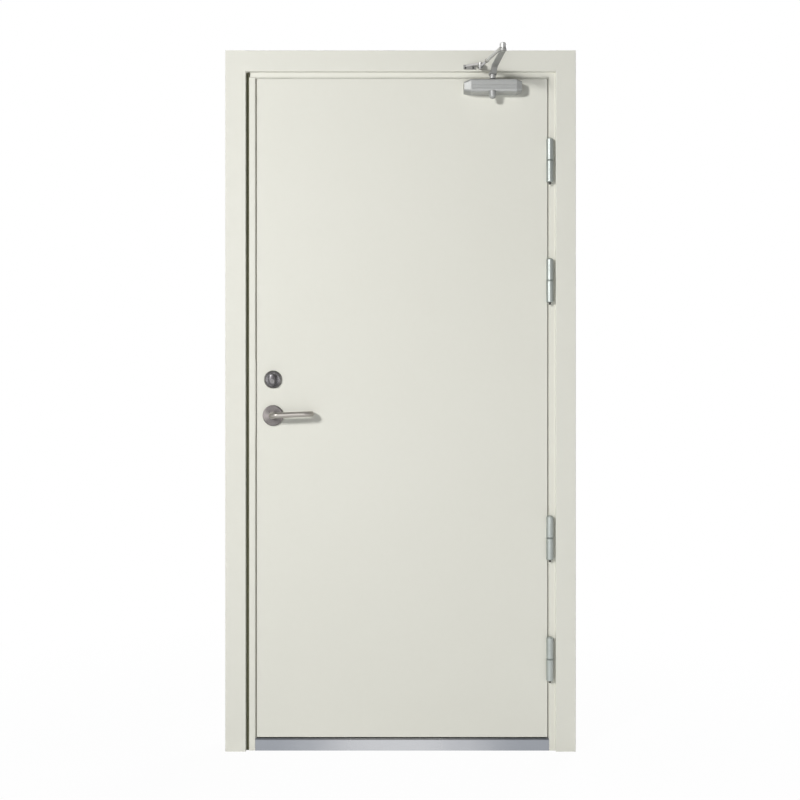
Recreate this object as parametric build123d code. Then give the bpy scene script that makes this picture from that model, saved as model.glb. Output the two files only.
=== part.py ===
"""Single-leaf steel fire exit door in a pressed-steel frame, with lever, lock, hinges and closer.

Millimetres. X runs across the doorway, Y away from the pull side, Z up from the floor.
The origin is on the floor, under the middle of the frame.
"""
import os
from math import atan2, cos, degrees, hypot, radians, sin

from build123d import *

# Frame: overall size and the folds of its sheet
frame_width = 1050.0
frame_height = 2100.0
frame_depth = 120.0
frame_sheet = 1.5
frame_bend = 2.0
jamb_casing = 60.0
lock_casing = 61.5
head_casing = 63.0
ledge_step = 10.0
jamb_ledge = 19.0
head_ledge = 15.0
stop_width = 16.0
wall_lip = 20.0

# Seal slot beside the lock-side ledge
seal_slot_width = 8.5
seal_slot_depth = 15.0
seal_thickness = 11.0
head_setback = 4.0

# Threshold
sill_height = 36.0
sill_stop = 16.0
sill_wall = 2.0
sill_nosing = 4.0

# Wall fixings through the soffits
fixing_hole_radius = 5.5
fixing_setback = 25.0
fixing_end_offsets = (300.0, 800.0)

# Leaf
leaf_gap = 5.0
leaf_thickness = 45.0
leaf_sheet = 1.2
lock_bevel = 1.8
channel_depth = 25.0

# Hinges: lift-off type, one pin fixed in each frame half
hinge_rises = (237.0, 599.0)
hinge_drops = (607.0, 247.0)
hinge_length = 130.0
hinge_barrel_radius = 10.5
hinge_barrel_edge = 2.0
hinge_axis_stand_off = 11.5
hinge_axis_offset = 3.5
hinge_plate_height = 100.0
hinge_plate_depth = 30.0
hinge_plate_thickness = 3.0
hinge_pin_radius = 5.0
hinge_pin_length = 56.0
hinge_running_gap = 0.05
hinge_knuckle_gap = 1.0
hinge_cap = 4.0

# Lock and lever
backset = 48.5
lever_height = 1006.5
lock_centres = 108.0
rose_radius = 31.0
rose_thickness = 8.0
rose_edge = 2.5
rose_bore_radius = 6.6
spindle_side = 8.0
spindle_hole_radius = 8.0
lever_tube_radius = 8.2
lever_hub_radius = 11.0
lever_hub_length = 14.0
lever_hub_edge = 1.5
lever_projection = 60.0
lever_reach = 116.0
lever_bend = 18.0
lever_tip_gap = 14.0
lever_tilt = 2.5
lever_running_gap = 0.5
spindle_socket_depth = 10.0
collar_base_radius = 27.0
collar_front_radius = 21.0
collar_projection = 12.0
collar_edge = 2.0
cylinder_radius = 14.0
cylinder_clearance = 0.3
cylinder_recess = 1.5
keyway_width = 3.0
keyway_height = 11.0
keyway_depth = 6.0
faceplate_width = 24.0
faceplate_margin = 66.0
faceplate_thickness = 4.0
bolt_thickness = 12.0
latch_height = 20.0
dead_bolt_height = 34.0
bolt_depth = 12.0
strike_width = 30.0
strike_margin = 56.0
strike_thickness = 2.0
strike_window_width = 16.0
strike_window_margin = 4.0

# Closer on the leaf, with its two-piece arm
closer_hinge_setback = 80.0
closer_length = 172.0
closer_height = 38.0
closer_projection = 45.0
closer_top_drop = 11.0
closer_front_round = 7.0
closer_groove_width = 2.5
closer_groove_depth = 1.5
closer_groove_heights = (0.24, 0.48)
closer_left_cap = 21.0
closer_right_cap = 16.0
left_cap_insets = (7.0, 3.0, 5.0)
right_cap_insets = (5.0, 4.0, 6.0)
spindle_offset_x = 84.5
closer_spindle_stand_off = 38.5
pinion_cap_radius = 10.5
pinion_cap_drop = 21.0
pinion_cap_rise = 2.0
pinion_cap_dome = 9.0
pinion_cap_clearance = 0.3
arm_thickness = 6.0
arm_hub_radius = 12.0
arm_hub_width = 18.0
arm_elbow_width = 15.0
arm_elbow_radius = 10.0
arm_boss_radius = 9.0
arm_hub_clearance = 1.0
arm_rise = 13.0
arm_rise_start = 14.0
arm_rise_end = 40.0
arm_bend = 4.0
arm_running_gap = 0.5
elbow_offset = 13.5
elbow_reach = 184.5
elbow_pin_radius = 4.0
elbow_running_gap = 0.08
elbow_head_radius = 8.0
elbow_head_height = 3.5
elbow_head_dome = 2.5
elbow_spacer_radius = 7.0
elbow_spacer_height = 2.5
elbow_step = 0.5
forearm_eye_height = 10.5
forearm_eye_radius = 9.5
forearm_tube_radius = 4.75
forearm_tube_share = 0.68
forearm_rod_radius = 3.2
shoe_eye_radius = 8.0
shoe_eye_height = 8.0
shoe_head_radius = 5.5
shoe_head_height = 4.0

# Closer shoe on the head casing
shoe_pivot_offset = 35.5
shoe_pivot_stand_off = 20.0
shoe_plate_offset = 50.0
shoe_plate_width = 36.0
shoe_plate_height = 13.0
shoe_plate_thickness = 4.0
shoe_lug_radius = 8.0
shoe_lug_height = 6.0
shoe_lug_gap = 0.4
shoe_pin_radius = 4.0
shoe_pin_tail = 3.0

# Planes and edges that the pieces share
half_width = frame_width / 2
face_y = -frame_depth / 2
rear_y = frame_depth / 2
ledge_y = face_y + ledge_step
leaf_front_y = ledge_y
leaf_back_y = leaf_front_y + leaf_thickness
stop_y = leaf_back_y + leaf_gap
step_x = half_width - jamb_casing
hinge_wall_x = step_x - jamb_ledge
hinge_soffit_x = hinge_wall_x - stop_width
lock_step_x = lock_casing - half_width
slot_x = lock_step_x + seal_slot_width
lock_wall_x = slot_x + jamb_ledge
lock_soffit_x = lock_wall_x + stop_width
slot_floor_y = ledge_y + seal_slot_depth
step_z = frame_height - head_casing
head_wall_z = step_z - head_ledge
head_soffit_z = head_wall_z - stop_width
leaf_left_x = lock_wall_x + leaf_gap
leaf_right_x = hinge_wall_x - leaf_gap
leaf_bottom_z = sill_height + leaf_gap
leaf_top_z = head_wall_z - leaf_gap
seam_y = (leaf_front_y + leaf_back_y) / 2
hinge_heights = [leaf_bottom_z + rise for rise in hinge_rises] + [leaf_top_z - drop for drop in hinge_drops]
fixing_heights = [*fixing_end_offsets] + [frame_height - offset_z for offset_z in fixing_end_offsets]
cylinder_height = lever_height + lock_centres
hinge_axis_x = (leaf_right_x + hinge_wall_x) / 2 + hinge_axis_offset
hinge_axis_y = leaf_front_y - hinge_axis_stand_off
lock_x = leaf_left_x + backset
closer_top_z = leaf_top_z - closer_top_drop
closer_bottom_z = closer_top_z - closer_height
closer_front_y = leaf_front_y - closer_projection
closer_left_x = leaf_right_x - closer_hinge_setback - closer_length
closer_spindle_x = closer_left_x + spindle_offset_x
closer_spindle_y = leaf_front_y - closer_spindle_stand_off
elbow_x = closer_spindle_x + elbow_offset
elbow_y = closer_spindle_y - elbow_reach
shoe_pivot_x = closer_spindle_x - shoe_pivot_offset
arm_hub_z = leaf_top_z + arm_hub_clearance
arm_z = arm_hub_z + arm_rise
elbow_eye_z = arm_z + arm_thickness + elbow_spacer_height + elbow_step
forearm_z = elbow_eye_z + forearm_eye_height / 2
shoe_pivot_y = face_y - shoe_pivot_stand_off
shoe_eye_z = forearm_z - shoe_eye_height / 2
shoe_lug_z = shoe_eye_z + shoe_eye_height + shoe_lug_gap
shoe_lug_top = shoe_lug_z + shoe_lug_height


def block(x_low, x_high, y_low, y_high, z_low, z_high):
    """Rectangular solid between two corners."""
    middle = Pos((x_low + x_high) / 2, (y_low + y_high) / 2, (z_low + z_high) / 2)
    return middle * Box(x_high - x_low, y_high - y_low, z_high - z_low)


def upright_rod(x, y, z_low, z_high, radius):
    """Vertical cylinder between two heights."""
    return Pos(x, y, (z_low + z_high) / 2) * Cylinder(radius, z_high - z_low)


def level_rod(x, z, y_low, y_high, radius):
    """Cylinder through the leaf, along Y, between two depths."""
    return Pos(x, (y_low + y_high) / 2, z) * Rot(90, 0, 0) * Cylinder(radius, y_high - y_low)


def folded(points, thickness, bend, side):
    """Section of a sheet folded along points, with the sheet on one side of that line."""
    return make_face(offset(FilletPolyline(*points, radius=bend), thickness, side=side).edges())


def outline(points):
    """Flat face inside a closed run of points."""
    return make_face(Polyline(*points, close=True))


def envelope(points, bend):
    """Flat face inside a folded line, closed straight across on its wall side."""
    folds = FilletPolyline(*points, radius=bend)
    return make_face(folds.edges() + Line(points[-1], points[0]).edges())


def turned_about_y(points, x, z):
    """Solid of revolution about a line along Y; points are (radius, y)."""
    profile = outline(points)
    return Pos(x, 0, z) * revolve(profile, axis=Axis.Y)


# Frame sections: seen from above for the jambs, from the side for the head and threshold
hinge_jamb_line = [
    (half_width, face_y + wall_lip),
    (half_width, face_y),
    (step_x, face_y),
    (step_x, ledge_y),
    (hinge_wall_x, ledge_y),
    (hinge_wall_x, stop_y),
    (hinge_soffit_x, stop_y),
    (hinge_soffit_x, rear_y),
    (half_width, rear_y),
    (half_width, rear_y - wall_lip),
]
lock_jamb_line = [
    (-half_width, face_y + wall_lip),
    (-half_width, face_y),
    (lock_step_x, face_y),
    (lock_step_x, slot_floor_y),
    (slot_x, slot_floor_y),
    (slot_x, ledge_y),
    (lock_wall_x, ledge_y),
    (lock_wall_x, stop_y),
    (lock_soffit_x, stop_y),
    (lock_soffit_x, rear_y),
    (-half_width, rear_y),
    (-half_width, rear_y - wall_lip),
]
head_line = [
    (face_y + wall_lip, frame_height),
    (face_y, frame_height),
    (face_y, step_z),
    (ledge_y, step_z),
    (ledge_y, head_wall_z),
    (stop_y, head_wall_z),
    (stop_y, head_soffit_z),
    (rear_y, head_soffit_z),
    (rear_y, frame_height),
    (rear_y - wall_lip, frame_height),
]
sill_line = [
    (ledge_y, 0),
    (ledge_y, sill_height - sill_nosing),
    (ledge_y + sill_nosing, sill_height),
    (stop_y, sill_height),
    (stop_y, sill_height + sill_stop),
    (rear_y, sill_height + sill_stop),
    (rear_y, 0),
]


def along_x(face, x_low, x_high):
    """Carry a side-view section, drawn as (y, z), from one X to another."""
    return Pos(x_low, 0, 0) * extrude(Plane.YZ * face, amount=x_high - x_low)


def head_space(x_low):
    """Room that the head takes up: its full outline, and its casing between the jamb casings."""
    head_end = step_x + frame_bend
    stepped = along_x(envelope(head_line, frame_bend), x_low, step_x)
    casing = block(-head_end, head_end, face_y, rear_y, step_z, frame_height)
    return stepped + casing


def fixing_holes(soffit_x):
    """Round holes through one soffit, for the screws into the wall."""
    hole = Rot(0, 90, 0) * Cylinder(fixing_hole_radius, stop_width)
    return [Pos(soffit_x, rear_y - fixing_setback, z) * hole for z in fixing_heights]


# Hinge halves
def hinge_plate(x_low, x_high, z):
    """Flat of one hinge half, let into the edge behind the front plane."""
    half = hinge_plate_height / 2
    return block(x_low, x_high, leaf_front_y, leaf_front_y + hinge_plate_depth, z - half, z + half)


def hinge_barrel(z_low, z_high):
    """Knuckle on the swing axis, with its two rims broken."""
    barrel = upright_rod(hinge_axis_x, hinge_axis_y, z_low, z_high, hinge_barrel_radius)
    return chamfer(barrel.edges().filter_by(GeomType.CIRCLE), hinge_barrel_edge)


frame_plate_x = (hinge_wall_x, hinge_wall_x + hinge_plate_thickness)
leaf_plate_x = (leaf_right_x - hinge_plate_thickness, leaf_right_x)


def frame_hinge(z):
    """Frame half: plate, lower knuckle and the pin that the leaf half drops on to."""
    half_gap = hinge_knuckle_gap / 2
    plate = hinge_plate(*frame_plate_x, z)
    link = block(*frame_plate_x, hinge_axis_y, leaf_front_y, z - hinge_plate_height / 2, z - half_gap)
    barrel = hinge_barrel(z - hinge_length / 2, z - half_gap)
    pin = upright_rod(hinge_axis_x, hinge_axis_y, z - half_gap, z + hinge_pin_length, hinge_pin_radius)
    return plate + link + barrel + pin


def leaf_hinge(z):
    """Leaf half: plate and the upper knuckle, bored for the pin and closed at its top."""
    half_gap = hinge_knuckle_gap / 2
    plate = hinge_plate(*leaf_plate_x, z)
    link = block(*leaf_plate_x, hinge_axis_y, leaf_front_y, z + half_gap, z + hinge_plate_height / 2)
    barrel = hinge_barrel(z + half_gap, z + hinge_length / 2)
    bore_top = z + hinge_length / 2 - hinge_cap
    bore_radius = hinge_pin_radius + hinge_running_gap
    bore = upright_rod(hinge_axis_x, hinge_axis_y, z, bore_top, bore_radius)
    return plate + link + barrel - bore


nodes = {}

# Frame
jamb_windows = [hinge_plate(*frame_plate_x, z) for z in hinge_heights]
hinge_jamb = extrude(folded(hinge_jamb_line, frame_sheet, frame_bend, Side.RIGHT), amount=frame_height)
hinge_jamb -= head_space(slot_x)
nodes["hinge_jamb"] = hinge_jamb - jamb_windows - fixing_holes(hinge_soffit_x)

lock_y = seam_y
strike = block(
    lock_wall_x - strike_thickness, lock_wall_x,
    lock_y - strike_width / 2, lock_y + strike_width / 2,
    lever_height - strike_margin, cylinder_height + strike_margin,
)


def strike_window(z, height):
    """Opening in the strike plate for one bolt."""
    half_width_y = strike_window_width / 2
    half_height = height / 2 + strike_window_margin
    return block(
        lock_wall_x - stop_width, lock_wall_x + strike_thickness,
        lock_y - half_width_y, lock_y + half_width_y, z - half_height, z + half_height,
    )


lock_jamb = extrude(folded(lock_jamb_line, frame_sheet, frame_bend, Side.LEFT), amount=frame_height)
lock_jamb -= head_space(slot_x)
nodes["lock_jamb"] = lock_jamb - strike - fixing_holes(lock_soffit_x)
strike -= strike_window(lever_height, latch_height)
nodes["strike_plate"] = strike - strike_window(cylinder_height, dead_bolt_height)

head_end = step_x + frame_bend
head = along_x(folded(head_line, frame_sheet, frame_bend, Side.LEFT), -head_end, head_end)
head_rear = block(slot_x, slot_x + head_setback, stop_y, rear_y, head_soffit_z, step_z)
nodes["frame_head"] = head & (head_space(slot_x + head_setback) + head_rear)

sill_outer = outline(sill_line)
sill = along_x(sill_outer - offset(sill_outer, -sill_wall), lock_wall_x, hinge_wall_x)
sill -= extrude(envelope(hinge_jamb_line, frame_bend), amount=frame_height)
nodes["threshold"] = sill - extrude(envelope(lock_jamb_line, frame_bend), amount=frame_height)

seal = block(lock_step_x, slot_x, slot_floor_y - seal_thickness, slot_floor_y, 0, step_z)
seal_back = seal.edges().filter_by(Axis.Z).group_by(Axis.Y)[-1]
nodes["lock_side_seal"] = fillet(seal_back, frame_bend)

for number, z in enumerate(hinge_heights, start=1):
    nodes[f"frame_hinge_{number}"] = frame_hinge(z)
    nodes[f"leaf_hinge_{number}"] = leaf_hinge(z)

# Leaf: two pans that meet along the edges, capped top and bottom, round a mineral core
leaf_outline = outline([
    (leaf_left_x, leaf_front_y),
    (leaf_right_x, leaf_front_y),
    (leaf_right_x, leaf_back_y),
    (leaf_left_x + lock_bevel, leaf_back_y),
])
leaf_inside = offset(leaf_outline, -leaf_sheet)
leaf_height = leaf_top_z - leaf_bottom_z
leaf_block = Pos(0, 0, leaf_bottom_z) * extrude(leaf_outline, amount=leaf_height)
leaf_shell = leaf_block - Pos(0, 0, leaf_bottom_z) * extrude(leaf_inside, amount=leaf_height)

latch = block(
    leaf_left_x, leaf_left_x + bolt_depth, lock_y - bolt_thickness / 2, lock_y + bolt_thickness / 2,
    lever_height - latch_height / 2, lever_height + latch_height / 2,
)
dead_bolt = block(
    leaf_left_x, leaf_left_x + bolt_depth, lock_y - bolt_thickness / 2, lock_y + bolt_thickness / 2,
    cylinder_height - dead_bolt_height / 2, cylinder_height + dead_bolt_height / 2,
)
faceplate = block(
    leaf_left_x, leaf_left_x + faceplate_thickness,
    lock_y - faceplate_width / 2, lock_y + faceplate_width / 2,
    lever_height - faceplate_margin, cylinder_height + faceplate_margin,
)
nodes["lock_faceplate"] = (faceplate & leaf_block) - latch - dead_bolt
nodes["latch_bolt"] = latch & leaf_block
nodes["dead_bolt"] = dead_bolt & leaf_block

leaf_cuts = [hinge_plate(*leaf_plate_x, z) for z in hinge_heights]
leaf_cuts += [faceplate, latch, dead_bolt]
leaf_cuts.append(level_rod(lock_x, lever_height, face_y, rear_y, spindle_hole_radius))
leaf_cuts.append(level_rod(lock_x, cylinder_height, face_y, rear_y, cylinder_radius + cylinder_clearance))

front_half = block(-half_width, half_width, face_y, seam_y, 0, frame_height)
nodes["front_skin"] = (leaf_shell & front_half) - leaf_cuts
nodes["back_skin"] = leaf_shell - front_half - leaf_cuts

channel_body = extrude(leaf_inside, amount=channel_depth)
channel_room = block(
    -half_width, half_width, leaf_front_y + 2 * leaf_sheet, leaf_back_y - 2 * leaf_sheet,
    leaf_sheet, channel_depth,
)
bottom_channel = channel_body - channel_room
nodes["bottom_channel"] = Pos(0, 0, leaf_bottom_z) * bottom_channel
nodes["top_channel"] = Pos(0, 0, leaf_top_z) * mirror(bottom_channel, about=Plane.XY)

core_height = leaf_height - 2 * channel_depth
core = Pos(0, 0, leaf_bottom_z + channel_depth) * extrude(leaf_inside, amount=core_height)
nodes["core"] = core - leaf_cuts


# Lever set: the front pieces, and the same pieces turned round for the back
def to_back(piece):
    """The matching piece on the back face of the leaf."""
    return mirror(piece, about=Plane((0, seam_y, 0), z_dir=(0, 1, 0)))


rose = turned_about_y(
    [
        (rose_bore_radius, leaf_front_y),
        (rose_radius, leaf_front_y),
        (rose_radius, leaf_front_y - rose_thickness),
        (rose_bore_radius, leaf_front_y - rose_thickness),
    ],
    lock_x, lever_height,
)
rose_rim = rose.edges().filter_by(GeomType.CIRCLE).group_by(Axis.Y)[0].sort_by(SortBy.RADIUS)[-1]
rose = fillet(rose_rim, rose_edge)
nodes["front_lever_rose"] = rose
nodes["back_lever_rose"] = to_back(rose)

lever_root_y = leaf_front_y - rose_thickness - lever_running_gap
lever_grip_y = leaf_front_y - lever_projection + lever_tube_radius
lever_tip_y = leaf_front_y - lever_tip_gap
lever_rise = lever_reach * sin(radians(lever_tilt))
lever_run = lever_reach * cos(radians(lever_tilt))
lever_path = FilletPolyline(
    (lock_x, lever_root_y, lever_height),
    (lock_x, lever_grip_y, lever_height),
    (lock_x + lever_run, lever_grip_y, lever_height + lever_rise),
    (lock_x + lever_run, lever_tip_y, lever_height + lever_rise),
    radius=lever_bend,
)
lever_start = Plane((lock_x, lever_root_y, lever_height), z_dir=(0, -1, 0))
lever_grip = sweep(lever_start * Circle(lever_tube_radius), path=lever_path)
lever_hub = level_rod(lock_x, lever_height, lever_root_y - lever_hub_length, lever_root_y, lever_hub_radius)
lever_hub = chamfer(lever_hub.edges().filter_by(GeomType.CIRCLE), lever_hub_edge)
spindle_front_y = lever_root_y - spindle_socket_depth
spindle_back_y = 2 * seam_y - spindle_front_y
half_side = spindle_side / 2
lever_spindle = block(
    lock_x - half_side, lock_x + half_side, spindle_front_y, spindle_back_y,
    lever_height - half_side, lever_height + half_side,
)
lever = lever_grip + lever_hub - lever_spindle
nodes["front_lever"] = lever
nodes["back_lever"] = to_back(lever)
nodes["lever_spindle"] = lever_spindle

# Lock: a tapered guard ring on each face, and one keyed cylinder through the leaf
collar_front_y = leaf_front_y - collar_projection
collar = turned_about_y(
    [
        (cylinder_radius + cylinder_clearance, leaf_front_y),
        (collar_base_radius, leaf_front_y),
        (collar_base_radius, leaf_front_y - collar_edge),
        (collar_front_radius + collar_edge, collar_front_y + collar_edge),
        (collar_front_radius, collar_front_y),
        (cylinder_radius + cylinder_clearance, collar_front_y),
    ],
    lock_x, cylinder_height,
)
nodes["front_lock_collar"] = collar
nodes["back_lock_collar"] = to_back(collar)

cylinder_front_y = collar_front_y + cylinder_recess
cylinder_back_y = 2 * seam_y - cylinder_front_y
keyway = block(
    lock_x - keyway_width / 2, lock_x + keyway_width / 2,
    cylinder_front_y, cylinder_front_y + keyway_depth,
    cylinder_height - keyway_height, cylinder_height,
)
cylinder = level_rod(lock_x, cylinder_height, cylinder_front_y, cylinder_back_y, cylinder_radius)
nodes["lock_cylinder"] = cylinder - keyway - to_back(keyway)


# Closer: ribbed body with two end caps, and a cap under its pinion
def closer_section(top_inset=0.0, bottom_inset=0.0, front_inset=0.0):
    """Side view of the closer, with the two front edges rounded; a cap's end is drawn in by the insets."""
    face = outline([
        (leaf_front_y, closer_bottom_z + bottom_inset),
        (closer_front_y + front_inset, closer_bottom_z + bottom_inset),
        (closer_front_y + front_inset, closer_top_z - top_inset),
        (leaf_front_y, closer_top_z - top_inset),
    ])
    return fillet(face.vertices().group_by(Axis.X)[0], closer_front_round)


closer_right_x = closer_left_x + closer_length
body_left_x = closer_left_x + closer_left_cap
body_right_x = closer_right_x - closer_right_cap
closer_body = along_x(closer_section(), body_left_x, body_right_x)
for share in closer_groove_heights:
    groove_z = closer_bottom_z + share * closer_height
    closer_body -= block(
        body_left_x, body_right_x, closer_front_y, closer_front_y + closer_groove_depth,
        groove_z - closer_groove_width / 2, groove_z + closer_groove_width / 2,
    )


def closer_cap(joint_x, end_x, insets):
    """End cap that runs on from the body and draws in towards its end."""
    joint = Plane.YZ.offset(joint_x) * closer_section()
    end = Plane.YZ.offset(end_x) * closer_section(*insets)
    return loft([joint, end], ruled=True)


nodes["closer_left_cap"] = closer_cap(body_left_x, closer_left_x, left_cap_insets)
nodes["closer_right_cap"] = closer_cap(body_right_x, closer_right_x, right_cap_insets)


def pinion_rod(clearance):
    """Round cap under the pinion, let into the lower front edge of the body."""
    return upright_rod(
        closer_spindle_x, closer_spindle_y, closer_bottom_z - pinion_cap_drop,
        closer_bottom_z + pinion_cap_rise + clearance, pinion_cap_radius + clearance,
    )


nodes["closer_body"] = closer_body - pinion_rod(pinion_cap_clearance)
pinion_cap = pinion_rod(0.0)
pinion_rim = pinion_cap.faces().sort_by(Axis.Z)[0].edges()
nodes["closer_pinion_cap"] = fillet(pinion_rim, pinion_cap_dome)

# Main arm: drawn along X from the spindle, with a rise beyond its hub, then turned to the elbow
arm_length = hypot(elbow_x - closer_spindle_x, elbow_y - closer_spindle_y)
arm_angle = degrees(atan2(elbow_y - closer_spindle_y, elbow_x - closer_spindle_x))
arm_ends = (-arm_hub_radius, arm_length + arm_elbow_radius)
arm_side = folded(
    [(arm_ends[0], arm_hub_z), (arm_rise_start, arm_hub_z), (arm_rise_end, arm_z), (arm_ends[1], arm_z)],
    arm_thickness, arm_bend, Side.LEFT,
)
arm_bar = extrude(Plane.XZ * arm_side, amount=arm_hub_radius, both=True)
arm_plan = Circle(arm_hub_radius) + Pos(arm_length, 0) * Circle(arm_elbow_radius) + outline([
    (0, -arm_hub_width / 2),
    (arm_length, -arm_elbow_width / 2),
    (arm_length, arm_elbow_width / 2),
    (0, arm_hub_width / 2),
])
arm_prism = Pos(0, 0, closer_top_z) * extrude(arm_plan, amount=frame_height - closer_top_z)
arm = arm_bar & arm_prism
arm += upright_rod(0, 0, closer_top_z + arm_running_gap, arm_hub_z, arm_boss_radius)
elbow_hole = upright_rod(arm_length, 0, arm_z, arm_z + arm_thickness, elbow_pin_radius)
arm_place = Pos(closer_spindle_x, closer_spindle_y, 0) * Rot(0, 0, arm_angle)
nodes["closer_main_arm"] = arm_place * (arm - elbow_hole)

elbow_top_z = elbow_eye_z + forearm_eye_height + elbow_step
elbow_pin = upright_rod(elbow_x, elbow_y, arm_z, elbow_top_z, elbow_pin_radius)
elbow_head = upright_rod(elbow_x, elbow_y, elbow_top_z, elbow_top_z + elbow_head_height, elbow_head_radius)
elbow_head = fillet(elbow_head.edges().group_by(Axis.Z)[-1], elbow_head_dome)
spacer_z = arm_z + arm_thickness
elbow_spacer = upright_rod(elbow_x, elbow_y, spacer_z, spacer_z + elbow_spacer_height, elbow_spacer_radius)
nodes["elbow_pin"] = elbow_pin + elbow_spacer + elbow_head

# Forearm: a tube from the elbow eye, and the adjusting rod that ends in the eye under the shoe
forearm_length = hypot(shoe_pivot_x - elbow_x, shoe_pivot_y - elbow_y)
forearm_angle = degrees(atan2(shoe_pivot_y - elbow_y, shoe_pivot_x - elbow_x))
forearm_place = Pos(elbow_x, elbow_y, 0) * Rot(0, 0, forearm_angle)
tube_end = forearm_length * forearm_tube_share


def arm_rod(start, end, radius):
    """Round bar along the forearm between two distances from the elbow."""
    return Pos((start + end) / 2, 0, forearm_z) * Rot(0, 90, 0) * Cylinder(radius, end - start)


elbow_eye = upright_rod(0, 0, elbow_eye_z, elbow_eye_z + forearm_eye_height, forearm_eye_radius)
elbow_bore = upright_rod(0, 0, elbow_eye_z, elbow_top_z, elbow_pin_radius + elbow_running_gap)
forearm_tube = arm_rod(0, tube_end, forearm_tube_radius) + elbow_eye - elbow_bore
nodes["forearm_tube"] = forearm_place * forearm_tube

shoe_eye = upright_rod(forearm_length, 0, shoe_eye_z, shoe_eye_z + shoe_eye_height, shoe_eye_radius)
shoe_head = upright_rod(forearm_length, 0, shoe_eye_z - shoe_head_height, shoe_eye_z, shoe_head_radius)
forearm_rod = arm_rod(tube_end, forearm_length, forearm_rod_radius) + shoe_eye + shoe_head
nodes["forearm_rod"] = forearm_place * forearm_rod

# Shoe: a plate on the head casing with a lug out to the pivot
shoe_plate_left_x = shoe_pivot_x - shoe_plate_offset
shoe_plate_x = (shoe_plate_left_x, shoe_plate_left_x + shoe_plate_width)
shoe_plate_z = (shoe_lug_top - shoe_plate_height, shoe_lug_top)
shoe_plate = block(*shoe_plate_x, face_y - shoe_plate_thickness, face_y, *shoe_plate_z)
lug_plan = outline([
    (shoe_plate_x[0], face_y),
    (shoe_plate_x[1], face_y),
    (shoe_pivot_x + shoe_lug_radius, shoe_pivot_y),
    (shoe_pivot_x, shoe_pivot_y - shoe_lug_radius),
])
lug_plan += Pos(shoe_pivot_x, shoe_pivot_y) * Circle(shoe_lug_radius)
shoe_lug = Pos(0, 0, shoe_lug_z) * extrude(lug_plan, amount=shoe_lug_height)
shoe_tail_top = shoe_lug_top + shoe_pin_tail
shoe_tail = upright_rod(shoe_pivot_x, shoe_pivot_y, shoe_lug_top, shoe_tail_top, shoe_pin_radius)
nodes["closer_shoe"] = shoe_plate + shoe_lug + shoe_tail

os.makedirs("parts", exist_ok=True)
for name, piece in nodes.items():
    export_step(piece, f"parts/{name}.step")
print(len(nodes), "pieces; arm", round(arm_length, 3), "forearm", round(forearm_length, 3))
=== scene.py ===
# %% [markdown]
# # A steel fire exit door
# This lesson dresses a fire exit door: a cream steel leaf in a pressed-steel frame, hung on four
# hinges, with a lever, a keyed lock, an overhead closer and a metal threshold. The construction is
# already finished and is loaded as a fixed frame. Here every piece gets its finish, and the small
# things that carry no load are added: screws, a thread, bearing rings, soft seals. Nothing in the
# loaded frame is moved or resized.

# %% Load the door
import math

import bmesh
import bpy
import numpy as np
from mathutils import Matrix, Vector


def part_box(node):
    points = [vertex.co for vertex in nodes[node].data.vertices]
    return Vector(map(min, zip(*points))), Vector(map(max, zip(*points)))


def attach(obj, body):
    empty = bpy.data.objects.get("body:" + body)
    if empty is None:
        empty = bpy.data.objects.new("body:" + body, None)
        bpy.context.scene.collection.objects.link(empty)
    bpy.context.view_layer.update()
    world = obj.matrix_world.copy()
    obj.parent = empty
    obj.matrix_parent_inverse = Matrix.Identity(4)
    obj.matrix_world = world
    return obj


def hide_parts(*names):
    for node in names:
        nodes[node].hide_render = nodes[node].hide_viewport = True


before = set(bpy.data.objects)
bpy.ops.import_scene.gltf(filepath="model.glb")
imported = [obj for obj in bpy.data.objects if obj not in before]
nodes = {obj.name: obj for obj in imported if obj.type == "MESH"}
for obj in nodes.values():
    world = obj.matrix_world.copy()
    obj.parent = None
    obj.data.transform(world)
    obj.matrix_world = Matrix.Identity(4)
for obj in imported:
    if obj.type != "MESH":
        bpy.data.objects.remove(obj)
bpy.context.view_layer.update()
MILLIMETRE = 0.001


def corners(node):
    """Lowest and highest corner of a loaded piece, in millimetres."""
    return tuple(np.array(corner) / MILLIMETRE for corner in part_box(node))


def centre(node):
    """Middle of a loaded piece's box, in millimetres."""
    return 0.5 * np.sum(corners(node), axis=0)


# %% [markdown]
# ## Camera
# The door was seen straight on, from about chest height, by a normal lens. A level camera keeps the
# upright edges upright, so it looks along +Y with no tilt and no shift. Its distance sets how much
# the closer arm, which stands out from the wall, grows against the frame behind it.

# %% Place the camera
FRAME_FACE_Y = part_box("frame_head")[0][1]
CAMERA_DISTANCE = 3.327
CAMERA_X = -0.0015
CAMERA_HEIGHT = 1.053
LEVEL_LOOK = math.radians(90.0)
LENS_MM = 50.0
SENSOR_MM = 36.0

camera_data = bpy.data.cameras.new("door_camera")
camera_data.lens = LENS_MM
camera_data.sensor_width = SENSOR_MM
camera = bpy.data.objects.new("door_camera", camera_data)
camera.location = (CAMERA_X, FRAME_FACE_Y - CAMERA_DISTANCE, CAMERA_HEIGHT)
camera.rotation_euler = (LEVEL_LOOK, 0.0, 0.0)
bpy.context.scene.collection.objects.link(camera)
bpy.context.scene.camera = camera
print("camera at", tuple(round(value, 3) for value in camera.location))

# %% [markdown]
# ## Shader maths as plain expressions
# A finish is a small network of nodes. Wiring each Math node by hand hides the idea, so one class
# wraps a node's output and lets Python operators add the nodes: `0.3 + 0.1 * grain` reads as the
# formula it is. Every other kind of node comes from one method, which sets its options first and
# then its sockets. The kinds that come back in every finish have short names of their own.


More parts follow.
